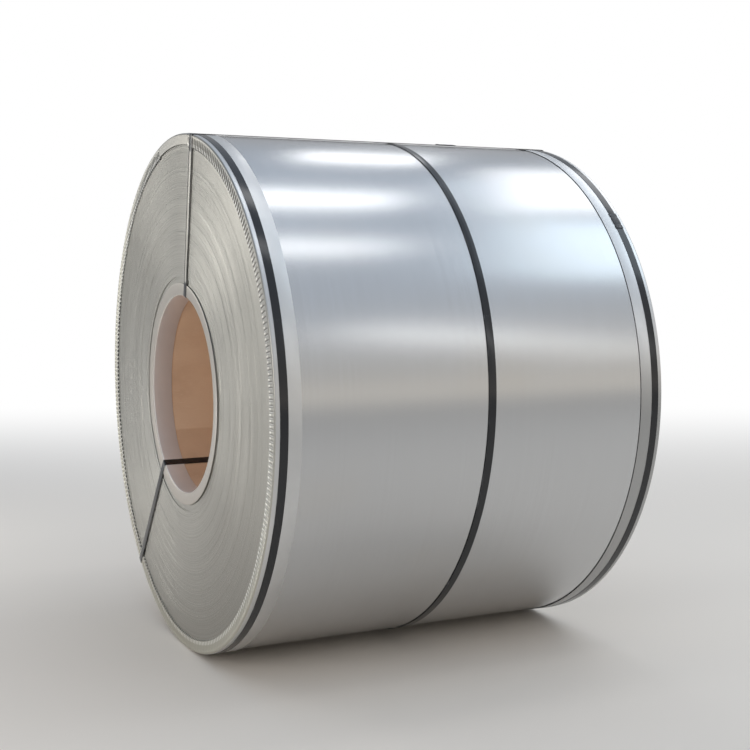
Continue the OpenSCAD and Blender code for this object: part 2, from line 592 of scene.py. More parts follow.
@dataclass(frozen=True)
class GalvanisedSheet:
    """Dull galvanised sheet with a faint spangle and random rubs; its flange coloured darker than its leg as
    painted shade, painted shade in the flutes on one side and painted light on the other, painted highlights
    on crests and bend and, if asked, painted shade low on the leg.
    """

    name: str
    axis_z: float
    face: float
    valley: float
    flute_r: float
    leg: Color = (0.70, 0.70, 0.695, 1.0)
    leg_dull: Color = (0.62, 0.62, 0.615, 1.0)
    # The flange is coloured darker than the leg of the same sheet: painted shade on the end face.
    flange: Color = (0.38, 0.375, 0.355, 1.0)
    warm: Color = (0.46, 0.44, 0.40, 1.0)
    # Painted light: the flange's colour on the side away from the painted shade.
    painted_lit_side: Color = (0.64, 0.62, 0.53, 1.0)
    # Painted shade in the flute valleys.
    painted_shade: Color = (0.10, 0.098, 0.09, 1.0)
    # Painted shade towards the bottom of the leg.
    painted_low_shade: Color = (0.40, 0.40, 0.395, 1.0)
    # Painted highlight colour on the flute crests and on the bore ring's bend.
    bare: Color = (0.93, 0.91, 0.87, 1.0)
    metallic: float = 0.95
    # How much painted shade and painted light the flange gets; the way and reach pick its shaded side.
    painted_shade_share: float = 0.7
    shade_way: Pair = (-0.5, 0.87)
    shade_reach: Pair = (-0.25, 0.55)
    # Share and heights of the painted shade low on the leg.
    low_shade_share: float = 0.0
    low_shade_reach: Pair = (0.15, -0.05)
    # Radius, reaches and heights of the painted highlight on the flute crests; bend_r and its reaches place
    # the one on the bend.
    crest_r: float = 0.0
    crest_edge: Pair = (0.0, 3.0 * MM)
    crest_depths: Pair = (0.9 * MM, 0.5 * MM)
    crest_top: Pair = (0.02 * MM, 0.12 * MM)
    bend_r: float = 0.0
    bend_edge: Pair = (-1.5 * MM, -0.5 * MM)
    bend_depths: Pair = (4.0 * MM, 2.5 * MM)
    glint_share: float = 0.8
    glint_metal_loss: float = 0.7
    face_edge: Pair = (0.4 * MM, 0.0)
    flute_edge: Pair = (-2.0 * MM, 0.0)
    flute_top: float = 0.3 * MM
    spangle_waves: float = 140.0
    spangle_share: float = 0.16
    spangle_rough: float = 0.05
    dirt_rough: float = 0.15
    cloud: Mottle = Mottle((6.0, 6.0, 6.0), 4.0, low=0.35, high=0.68, rough=0.14)
    wear_and_highlight: Mottle = Mottle((40.0, 14.0, 14.0), 4.0, 0.6, low=0.60, high=0.75, share=0.25)
    tone: Mottle = Mottle((2.0, 2.2, 2.2), low=0.45, high=0.70, share=0.7)
    grain: Mottle = Mottle((900.0, 900.0, 900.0))
    grain_h: float = 0.04 * MM
    dent: Mottle = Mottle((22.0, 22.0, 22.0))
    dent_h: float = 0.35 * MM
    relief: float = 0.35
    rough: float = 0.32

    def make(self) -> bpy.types.Material:
        """Build the material.

        Returns:
            The material.
        """
        material, graph = new_graph(self.name)
        spot = graph.place((0.0, 0.0, self.axis_z))
        x, y, z = graph.split(spot)
        out, radius = abs(x), (y * y + z * z).root()
        on_face = out.inside(self.valley, self.face_edge)
        low = on_face * radius.inside(self.flute_r, self.flute_edge)
        low = low * out.ease(self.face - self.flute_top, self.valley)
        # Painted highlights: a light, less metallic line on the flute crests and along the bend.
        crest = out.inside(self.face, self.crest_depths) * out.inside(self.face, self.crest_top)
        crest = crest * radius.inside(self.crest_r, self.crest_edge)
        bend = radius.inside(self.bend_r, self.bend_edge) * out.inside(self.face, self.bend_depths)
        painted_glint = crest.most(bend) * self.glint_share

        spangle = graph.node("ShaderNodeTexVoronoi", {"feature": "F1"},
                             {"Vector": spot, "Scale": self.spangle_waves}, "Color")
        flake = graph.node("ShaderNodeSeparateColor", None, {"Color": spangle})
        cloud = graph.noise(spot, self.cloud)
        color = graph.mix(self.cloud.mask(cloud), self.leg, self.leg_dull)
        color = graph.mix(flake * self.spangle_share, color, self.leg_dull)
        color = graph.layer(spot, self.wear_and_highlight, color, self.leg)
        # Painted shade: the leg darker towards the bottom.
        color = graph.mix(z.ease(*self.low_shade_reach) * self.low_shade_share, color, self.painted_low_shade)
        # Flange colour darker than the leg's: painted shade on the end face.
        flange = graph.layer(spot, self.tone, self.flange, self.warm)
        # Painted shade in the flute valleys on one side of the flange, and painted light on the flange on the
        # other side.
        shaded_side = (y * self.shade_way[0] + z * self.shade_way[1]).ease(*self.shade_reach)
        flange = graph.mix((1.0 - shaded_side) * self.painted_shade_share, flange, self.painted_lit_side)
        color = graph.mix(on_face, color, flange)
        color = graph.mix(low * shaded_side * self.painted_shade_share, color, self.painted_shade)
        color = graph.mix(painted_glint, color, self.bare)
        rough = self.rough + cloud * self.cloud.rough - flake * self.spangle_rough
        grain = graph.bump(graph.noise(spot, self.grain), self.grain_h, self.relief)
        graph.surface({
            "Base Color": color,
            "Metallic": self.metallic - painted_glint * (self.glint_metal_loss * self.metallic),
            "Roughness": rough + low * self.dirt_rough,
            "Normal": graph.bump(graph.noise(spot, self.dent), self.dent_h, self.relief, grain),
        })
        return material


@dataclass(frozen=True)
class PaintedStreak:
    """A painted highlight stripe along a strap: the radii that it runs between, and its share."""

    inner: float
    outer: float
    share: float
    fade: float = 10.0 * MM
    left_edge: Pair = (-0.45, -0.25)
    right_edge: Pair = (0.86, 0.70)
    cover: Pair = (0.20, 0.50)
    least: float = 0.7
    metal: float = 0.35


@dataclass(frozen=True)
class StrapPaint:
    """Black waxed strapping, worn along its edges, scratched and, if asked, with a painted highlight stripe.
    """

    name: str
    middle: Point
    turn: Point
    run: Run
    half_w: float
    wear_and_highlight: Optional[PaintedStreak] = None
    black: Color = (0.006, 0.0066, 0.009, 1.0)
    worn: Color = (0.30, 0.31, 0.33, 1.0)
    # Colour of the painted highlight stripe.
    steel: Color = (0.86, 0.83, 0.74, 1.0)
    wear: Mottle = Mottle((60.0, 18.0, 18.0), 4.0, 0.6, low=0.56, high=0.68, rough=0.12)
    scratch: Mottle = Mottle((420.0, 126.0, 126.0), low=0.70, high=0.78, share=0.25)
    edge_shares: Pair = (0.80, 0.98)
    worn_share: float = 0.8
    worn_metal: float = 0.7
    relief_h: float = 0.10 * MM
    relief: float = 0.3
    rough: float = 0.12
    gloss: float = 0.6

    def make(self) -> bpy.types.Material:
        """Build the material.

        Returns:
            The material; a round strap is crossed along local X and a straight one along local Z.
        """
        material, graph = new_graph(self.name)
        spot = graph.place(self.middle, self.turn)
        x, out, z = graph.split(spot)
        across, wear, scratch = x, self.wear, self.scratch
        if self.run is Run.STRAIGHT:
            across, wear, scratch = z, wear.reversed(), scratch.reversed()
        mottle = graph.noise(spot, wear)
        edge = abs(across).ease(*(share * self.half_w for share in self.edge_shares))
        bare = (edge * wear.mask(mottle)).most(scratch.mask(graph.noise(spot, scratch)))
        color = graph.mix(bare * self.worn_share, self.black, self.worn)
        metal = bare * self.worn_metal
        # Painted highlight: a light, partly metallic stripe along the strap between the rings.
        if self.wear_and_highlight:
            place = across / self.half_w
            stripe = place.ease(*self.wear_and_highlight.left_edge) * place.ease(*self.wear_and_highlight.right_edge)
            stripe = stripe * out.ease(self.wear_and_highlight.inner, self.wear_and_highlight.inner + self.wear_and_highlight.fade)
            stripe = stripe * out.ease(self.wear_and_highlight.outer, self.wear_and_highlight.outer - self.wear_and_highlight.fade)
            cover = mottle.ease(*self.wear_and_highlight.cover) * (1.0 - self.wear_and_highlight.least) + self.wear_and_highlight.least
            stripe = stripe * cover * self.wear_and_highlight.share
            color = graph.mix(stripe, color, self.steel)
            metal = metal.most(stripe * self.wear_and_highlight.metal)
        graph.surface({
            "Base Color": color,
            "Metallic": metal,
            "Roughness": self.rough + mottle * wear.rough,
            "Specular IOR Level": self.gloss,
            "Normal": graph.bump(mottle, self.relief_h, self.relief),
        })
        return material


@dataclass(frozen=True)
class SealPaint:
    """Black seals, scraped bright where the sealer gripped them."""

    black: Color = (0.022, 0.024, 0.029, 1.0)
    scraped: Color = (0.34, 0.34, 0.35, 1.0)
    scrape: Mottle = Mottle((160.0, 160.0, 160.0), 3.0, low=0.58, high=0.68, share=0.6)
    mottle: Mottle = Mottle((70.0, 70.0, 70.0), 3.0, rough=0.18)
    relief_h: float = 0.2 * MM
    relief: float = 0.4
    rough: float = 0.32

    def make(self) -> bpy.types.Material:
        """Build the material.

        Returns:
            The material.
        """
        material, graph = new_graph("seal_paint")
        spot = graph.place()
        scrape = self.scrape.mask(graph.noise(spot, self.scrape))
        mottle = graph.noise(spot, self.mottle)
        graph.surface({
            "Base Color": graph.mix(scrape, self.black, self.scraped),
            "Metallic": scrape,
            "Roughness": self.rough + mottle * self.mottle.rough,
            "Normal": graph.bump(mottle, self.relief_h, self.relief),
        })
        return material


@dataclass(frozen=True)
class LinerBoard:
    """Brown board with fibres along the bore and darker damp patches."""

    axis_z: float
    light: Color = (0.76, 0.53, 0.36, 1.0)
    dark: Color = (0.64, 0.42, 0.275, 1.0)
    fibre: Color = (0.80, 0.61, 0.45, 1.0)
    damp: Mottle = Mottle((5.0, 8.0, 8.0), 4.0, low=0.35, high=0.70)
    fibres: Mottle = Mottle((60.0, 420.0, 420.0), 3.0, 0.65, low=0.50, high=0.75, share=0.45, rough=0.25)
    fleck: Mottle = Mottle((300.0, 700.0, 700.0), 1.0, low=0.66, high=0.74, share=0.4)
    relief_h: float = 0.25 * MM
    relief: float = 0.45
    rough: float = 0.62

    def make(self) -> bpy.types.Material:
        """Build the material.

        Returns:
            The material.
        """
        material, graph = new_graph("liner_board")
        spot = graph.place((0.0, 0.0, self.axis_z))
        fibres = graph.noise(spot, self.fibres)
        color = graph.layer(spot, self.damp, self.light, self.dark)
        color = graph.mix(self.fibres.mask(fibres), color, self.fibre)
        color = graph.layer(spot, self.fleck, color, self.dark)
        graph.surface({
            "Base Color": color,
            "Roughness": self.rough + fibres * self.fibres.rough,
            "Normal": graph.bump(fibres, self.relief_h, self.relief),
        })
        return material


@dataclass(frozen=True)
class FloorPaper:
    """Pale studio paper that lightens to white far behind the coil, though not beyond its left end."""

    near: Color = (0.88, 0.815, 0.74, 1.0)
    far: Color = (1.0, 1.0, 1.0, 1.0)
    back: Pair = (0.437, 0.899)
    depths: Pair = (1.2, 5.5)
    slant: float = 0.3
    sides: Pair = (-4.0, -1.1)

    def make(self) -> bpy.types.Material:
        """Build the material.

        Returns:
            The material.
        """
        material, graph = new_graph("floor_paper")
        x, y, _ = graph.split(graph.place())
        path = graph.node("ShaderNodeLightPath", output="Is Camera Ray")
        shown = path.most(path.out("Is Glossy Ray")).most(path.out("Is Transmission Ray"))
        depth = x * self.back[0] + y * self.back[1]
        side = x * self.back[1] - y * self.back[0] + depth * self.slant
        fade = depth.ease(*self.depths) * side.ease(*self.sides) * shown
        paper = graph.node("ShaderNodeBsdfDiffuse", None, {"Color": self.near})
        white = graph.node("ShaderNodeEmission", None, {"Color": self.far, "Strength": 1.0})
        floor = graph.node("ShaderNodeMixShader", None, {0: fade, 1: paper, 2: white})
        graph.node("ShaderNodeOutputMaterial", None, {"Surface": floor})
        return material


@dataclass
class WoundStrip:
    """The wound strip: one turned solid whose ends show the edges of its wraps."""

    lathe: Lathe
    span: Span
    group_widths: Pair = (4.0 * MM, 12.0 * MM)
    setback: float = 0.4 * MM
    setback_power: float = 2.5
    dip: float = 1.6 * MM
    dip_radii: Pair = (279.0 * MM, 294.0 * MM)
    groove: float = 0.3 * MM
    groove_depth: float = 0.06 * MM
    tail_angle: float = math.radians(298.0)
    strip_t: float = 1.2 * MM
    steps: int = 256
    sharp: float = 6.0
    seed: int = 11

    def _edge(self, end: End) -> list[Corner]:
        """Edge of one end from the bore outwards.

        Args:
            end: Which end of the coil.

        Returns:
            A flat for each group of wraps, sunk a little next to the bore's ring, and grooves between them.
        """
        draw = random.Random(self.seed + end.value)
        face = self.span.right
        points: list[Corner] = []
        r, last = self.span.inner, face
        while r < self.span.outer:
            outer = r + draw.uniform(*self.group_widths)
            if self.span.outer - outer < self.group_widths[0]:
                outer = self.span.outer
            sunk = self.dip_radii[0] < r < self.dip_radii[1]
            back = face - (self.dip if sunk else self.setback * draw.random() ** self.setback_power)
            low = r if r == self.span.inner else r + self.groove
            high = outer if outer == self.span.outer else outer - self.groove
            if r > self.span.inner:
                points.append(Corner(end.value * (min(last, back) - self.groove_depth), r))
            points += [Corner(end.value * back, low), Corner(end.value * back, high)]
            r, last = outer, back
        return points

    def build(self, finish: StripSteel) -> bpy.types.Object:
        """Turn the strip and dress it.

        Args:
            finish: Finish of the steel.

        Returns:
            The piece.
        """
        corners = self._edge(End.LEFT) + self._edge(End.RIGHT)[::-1]
        seam = Seam(self.tail_angle, self.span.outer, -self.strip_t)
        bm = self.lathe.turn(corners, self.steps, seam)
        return self.lathe.finish(bm, "wound_strip", "coil", "coil_steel", finish.make(), self.sharp)


@dataclass
class BoreLiner:
    """Board that lines the bore, with its lap along the front."""

    lathe: Lathe
    span: Span
    lap_angle: float = math.radians(205.0)
    lap_step: float = 0.9 * MM
    soft: float = 0.4 * MM
    steps: int = 192

    def build(self, finish: LinerBoard) -> bpy.types.Object:
        """Turn the liner and dress it.

        Args:
            finish: Finish of the board.

        Returns:
            The piece.
        """
        left, right, inner, outer = self.span.left, self.span.right, self.span.inner, self.span.outer
        places = ((left, inner), (right, inner), (right, outer), (left, outer))
        corners = [Corner(x, r, self.soft) for x, r in places]
        bm = self.lathe.turn(corners, self.steps, Seam(self.lap_angle, inner, self.lap_step))
        return self.lathe.finish(bm, "liner", "bore_liner", "liner_board", finish.make())


@dataclass
class OuterRing:
    """Edge ring of angle section on an outer rim, with a fluted flange and a plain lap."""

    lathe: Lathe
    end: End
    span: Span
    coil_face: float
    sheet: float = 0.6 * MM
    edge: float = 0.3 * MM
    bend: float = 4.5 * MM
    flutes: int = 318
    flute_steps: int = 8
    flute_gain: float = 0.8
    flute_skin: float = 1.6
    flute_seat: float = 0.15 * MM
    flute_l: float = 30.0 * MM
    flute_fade: float = 0.25
    sectors: int = 53
    lap_from: float = math.radians(76.0)
    lap_to: float = math.radians(98.0)
    lap_trim: float = 8.0 * MM
    lap_rise: float = 0.2 * MM
    tooth: float = 4.0 * MM
    stations: tuple[float, ...] = (0.04, 0.30, 0.62, 0.75, 0.84)
    back_stations: int = 3
    sharp: float = 50.0

    def _corners(self) -> list[Corner]:
        """Section of the ring.

        Returns:
            The leg, the bent rim and the flange, out and back.
        """
        sign, face, foot = self.end.value, self.span.face, self.span.foot
        low, high, back = self.span.inner, self.span.outer, face - self.sheet
        radii = [low + share * (high - low) for share in self.stations]
        outside = [Corner(sign * foot, high, self.edge), Corner(sign * face, high, self.bend, segments=6)]
        outside += [Corner(sign * face, r) for r in radii[::-1]] + [Corner(sign * face, low, self.edge)]
        inside = [Corner(sign * back, r) for r in [low] + radii[-self.back_stations:]]
        inside += [Corner(sign * back, high - self.sheet, self.bend - self.sheet),
                   Corner(sign * foot, high - self.sheet)]
        return outside + inside

    def _shape(self, point: Vector) -> Vector:
        """Place of a point of the flange once its flutes are pressed.

        Args:
            point: The point on the plain turned ring.

        Returns:
            Its new place.
        """
        face, low = self.span.face, self.span.inner
        r, angle = self.lathe.radius(point), self.lathe.angle(point)
        part = min(1.0, max(0.0, (low + self.flute_l - r) / (self.flute_fade * self.flute_l)))
        fade = part * part * (3.0 - 2.0 * part)
        x = abs(point.x)
        if x < face - self.flute_skin * self.sheet or fade == 0.0:
            return point
        if self.lap_from < angle < self.lap_to:
            r = low + self.lap_trim + (r - low) * (self.flute_l - self.lap_trim) / self.flute_l
        else:
            wave = min(1.0, max(0.0, 0.5 + self.flute_gain * math.cos(angle * self.flutes)))
            depth = face - self.sheet - self.coil_face - self.flute_seat
            x -= fade * (self.lap_rise + (depth - self.lap_rise) * (1.0 - wave))
            r += self.tooth * wave * (1.0 - (r - low) / self.flute_l)
        return self.lathe.point(self.end.value * x, r, angle)

    def build(self, finish: GalvanisedSheet) -> bpy.types.Object:
        """Turn the ring, press its flutes and dress it.

        Args:
            finish: Finish of the sheet.

        Returns:
            The piece.
        """
        bm = self.lathe.turn(self._corners(), self.flutes * self.flute_steps, sectors=self.sectors)
        for vert in bm.verts:
            vert.co = self._shape(vert.co)
        side = self.end.name.lower()
        return self.lathe.finish(bm, f"edge_ring_{side}", f"outer_ring_{side}", "ring_galvanised",
                                 finish.make(), self.sharp)


@dataclass
class InnerRing:
    """Plain edge ring of angle section on a bore edge."""

    lathe: Lathe
    end: End
    span: Span
    sheet: float = 0.9 * MM
    edge: float = 0.25 * MM
    bend: float = 3.4 * MM
    lip: float = 4.0 * MM
    lip_edge: float = 0.3 * MM
    lip_back: float = 0.1 * MM
    curl: float = 0.3 * MM
    lift: float = 0.7 * MM
    steps: int = 256

    def build(self, finish: GalvanisedSheet) -> bpy.types.Object:
        """Turn the ring and dress it.

        Args:
            finish: Finish of the sheet.

        Returns:
            The piece.
        """
        sign, sheet, face, foot = self.end.value, self.sheet, self.span.face, self.span.foot
        low, high, top = self.span.inner, self.span.outer, face + self.lift
        corners = [Corner(sign * foot, low, self.edge), Corner(sign * face, low, self.bend, segments=6),
                   Corner(sign * top, high - self.lip),
                   Corner(sign * (top - self.curl), high, self.lip_edge),
                   Corner(sign * (top - sheet), high, self.lip_back),
                   Corner(sign * (face - sheet), low + sheet, self.bend - sheet, segments=4),
                   Corner(sign * foot, low + sheet, self.edge)]
        side = self.end.name.lower()
        bm = self.lathe.turn(corners, self.steps)
        return self.lathe.finish(bm, f"bore_ring_{side}", f"inner_ring_{side}", "ring_galvanised",
                                 finish.make())


@dataclass
class BandStrap:
    """A band of strapping round the coil, with its edges a little lower than its middle."""

    lathe: Lathe
    name: str
    node: str
    middle: float
    width: float
    inner: float
    thick: float
    lean: float = 0.0
    crown: float = 0.18 * MM
    crown_share: float = 0.45
    crown_bend: float = 4.0 * MM
    soft: float = 0.2 * MM
    steps: int = 256

    def build(self, finish: StrapPaint) -> bpy.types.Object:
        """Turn the band, lean it and dress it.

        Args:
            finish: Finish of the strap.

        Returns:
            The piece.
        """
        half, low, high = 0.5 * self.width, self.inner, self.inner + self.thick
        left, right, flat = self.middle - half, self.middle + half, self.crown_share * half
        corners = [Corner(left, low, self.soft), Corner(right, low, self.soft),
                   Corner(right, high - self.crown, self.soft),
                   Corner(self.middle + flat, high, self.crown_bend, segments=3),
                   Corner(self.middle - flat, high, self.crown_bend, segments=3),
                   Corner(left, high - self.crown, self.soft)]
        bm = self.lathe.turn(corners, self.steps)
        if self.lean:
            bmesh.ops.rotate(bm, cent=self.lathe.centre(self.middle), verts=list(bm.verts),
                             matrix=Matrix.Rotation(self.lean, 3, "Y"))
        return self.lathe.finish(bm, self.name, self.node, "strap_black", finish.make())


@dataclass
class EyeStrap:
    """A strap through the bore, drawn tight over the flanges of both ends."""

    lathe: Lathe
    name: str
    node: str
    angle: float
    width: float
    thick: float
    run_r: float
    bore_r: float
    rim_face: float
    bore_face: float
    rim_edge: float
    crown: float = 0.35 * MM
    bend: float = 3.0 * MM
    rim_bend: float = 20.0 * MM
    shares: tuple[float, ...] = (-1.0, -0.86, -0.45, 0.0, 0.45, 0.86, 1.0)

    def _ribbon(self) -> BMesh:
        """Draw the loop and widen it to a ribbon.

        Returns:
            A mesh of the strap's under side.
        """
        far, near = self.rim_face, self.bore_face
        corners = [Corner(-far, self.run_r, self.bend, segments=5),
                   Corner(far, self.run_r, self.bend, segments=5),
                   Corner(far, self.rim_edge, self.rim_bend, segments=4),
                   Corner(near, self.bore_r, self.bend, segments=5),
                   Corner(-near, self.bore_r, self.bend, segments=5),
                   Corner(-far, self.rim_edge, self.rim_bend, segments=4)]
        bm = self.lathe.outline(corners, self.angle)
        across = 0.5 * self.width * self.lathe.round_way(self.angle)
        bmesh.ops.translate(bm, vec=across * self.shares[0], verts=list(bm.verts))
        rail = list(bm.edges)
        for last, share in zip(self.shares, self.shares[1:]):
            grown = bmesh.ops.extrude_edge_only(bm, edges=rail)["geom"]
            rail = [item for item in grown if isinstance(item, BMEdge)
                    and all(len(vert.link_edges) == 3 for vert in item.verts)]
            moved = {vert for edge in rail for vert in edge.verts}
            bmesh.ops.translate(bm, vec=across * (share - last), verts=list(moved))
        bmesh.ops.recalc_face_normals(bm, faces=list(bm.faces))
        bm.normal_update()
        return bm

    def build(self, finish: StrapPaint) -> bpy.types.Object:
        """Give the ribbon its crown and its thickness, and dress it.

        Args:
            finish: Finish of the strap.

        Returns:
            The piece.
        """
        bm = self._ribbon()
        heart = self.lathe.point(0.0, 0.5 * (self.run_r + self.bore_r), self.angle)
        facing_out = [face.normal.dot(face.calc_center_median() - heart) > 0.0 for face in bm.faces]
        sign = 1.0 if sum(facing_out) * 2 > len(facing_out) else -1.0
        across, centre = self.lathe.round_way(self.angle), self.lathe.centre()
        for vert in bm.verts:
            off = (vert.co - centre).dot(across) / (0.5 * self.width)
            vert.co += vert.normal * (self.thick - self.crown * off * off) * sign
        bmesh.ops.solidify(bm, geom=list(bm.faces), thickness=sign * self.thick)
        bmesh.ops.recalc_face_normals(bm, faces=list(bm.faces))
        return self.lathe.finish(bm, self.name, self.node, "strap_black", finish.make())


@dataclass
class StrapSeal:
    """A crimped seal: a plate over the strap with a lip down each edge, pinched twice."""

    lathe: Lathe
    name: str
    node: str
    run: Run
    angle: float
    middle: float
    base_r: float
    strap_w: float
    strap_t: float
    lean: float = 0.0
    length: float = 50.0 * MM
    sheet: float = 1.0 * MM
    gap: float = 0.2 * MM
    round_share: float = 0.7
    pinch: float = 1.1 * MM
    pinch_shares: tuple[float, ...] = (-0.25, 0.25)
    pinch_l: float = 4.0 * MM
    pinch_from: float = 0.55
    pinch_lift: float = 0.25

    def _stations(self) -> list[float]:
        """Find the places along the seal where its shape is set.

        Returns:
            The places in order, from the seal's middle.
        """
        places = [-0.5 * self.length, 0.5 * self.length]
        for share in self.pinch_shares:
            middle = share * self.length
            places += [middle + step * 0.5 * self.pinch_l for step in (-2, -1, 0, 1, 2)]
        return sorted(places)

    def _bar(self, section: Sequence[Pair]) -> BMesh:
        """Run a section with two rounded corners, its last two, along the seal's stations.

        Args:
            section: Corners of the section, across the strap and up from it.

        Returns:
            A straight bar.
        """
        stations = self._stations()
        bm = bmesh.new()
        verts = [bm.verts.new((stations[0], across, height)) for across, height in section]
        bm.faces.new(verts)
        bmesh.ops.bevel(bm, geom=verts[-2:], offset=self.round_share * self.sheet, segments=3, profile=0.5,
                        affect="VERTICES", material=-1)
        face = next(iter(bm.faces))
        for last, here in zip(stations, stations[1:]):
            grown = bmesh.ops.extrude_face_region(bm, geom=[face])["geom"]
            moved = [item for item in grown if isinstance(item, BMVert)]
            if last != stations[0]:
                bmesh.ops.delete(bm, geom=[face], context="FACES_ONLY")
            face = next(item for item in grown if isinstance(item, BMFace))
            bmesh.ops.translate(bm, vec=(here - last, 0.0, 0.0), verts=moved)
        bmesh.ops.recalc_face_normals(bm, faces=list(bm.faces))
        return bm

    def _seat(self, along: float, across: float, height: float) -> Vector:
        """Place of a point of the straight seal on its strap.

        Args:
            along: Distance from the seal's middle along the strap.
            across: Distance from the strap's middle line.
            height: Height above the strap's under side.

        Returns:
            The point in the frame of the part.
        """
        r = self.base_r + height
        if self.run is Run.ROUND:
            point = self.lathe.point(self.middle + across, r, self.angle + along / self.base_r)
            centre = self.lathe.centre(self.middle)
            return centre + Matrix.Rotation(self.lean, 3, "Y") @ (point - centre)
        point = self.lathe.point(self.middle + along, r, self.angle)
        return point + across * self.lathe.round_way(self.angle)

    def build(self, finish: bpy.types.Material) -> bpy.types.Object:
        """Run the section along the strap, pinch it, bend it on and dress it.

        Args:
            finish: Material of the seals.

        Returns:
            The piece.
        """
        half, top = 0.5 * self.strap_w + self.gap, self.strap_t + self.gap
        outer, high, still = half + self.sheet, top + self.sheet, self.pinch_from * half
        bm = self._bar([(-outer, 0.0), (-half, 0.0), (-half, top), (half, top), (half, 0.0), (outer, 0.0),
                        (outer, high), (-outer, high)])
        for vert in bm.verts:
            along, across, height = vert.co
            near = min(abs(along - share * self.length) for share in self.pinch_shares)
            grip = max(0.0, 1.0 - near / self.pinch_l)
            side = math.copysign(max(0.0, abs(across) - still) / (outer - still), across)
            lift = self.pinch_lift * abs(side) * grip * self.sheet
            height += lift if height < top else -lift
            vert.co = self._seat(along, across - side * grip * self.pinch, height)
        return self.lathe.finish(bm, self.name, self.node, "seal_black", finish)


@dataclass(frozen=True)
class Lamp:
    """A soft panel, which faces the coil's axis where it is aimed at no other point."""

    name: str
    middle: Point
    size: Pair
    radiance: float
    tint: Point = (1.0, 1.0, 1.0)
    aim: Optional[Point] = None


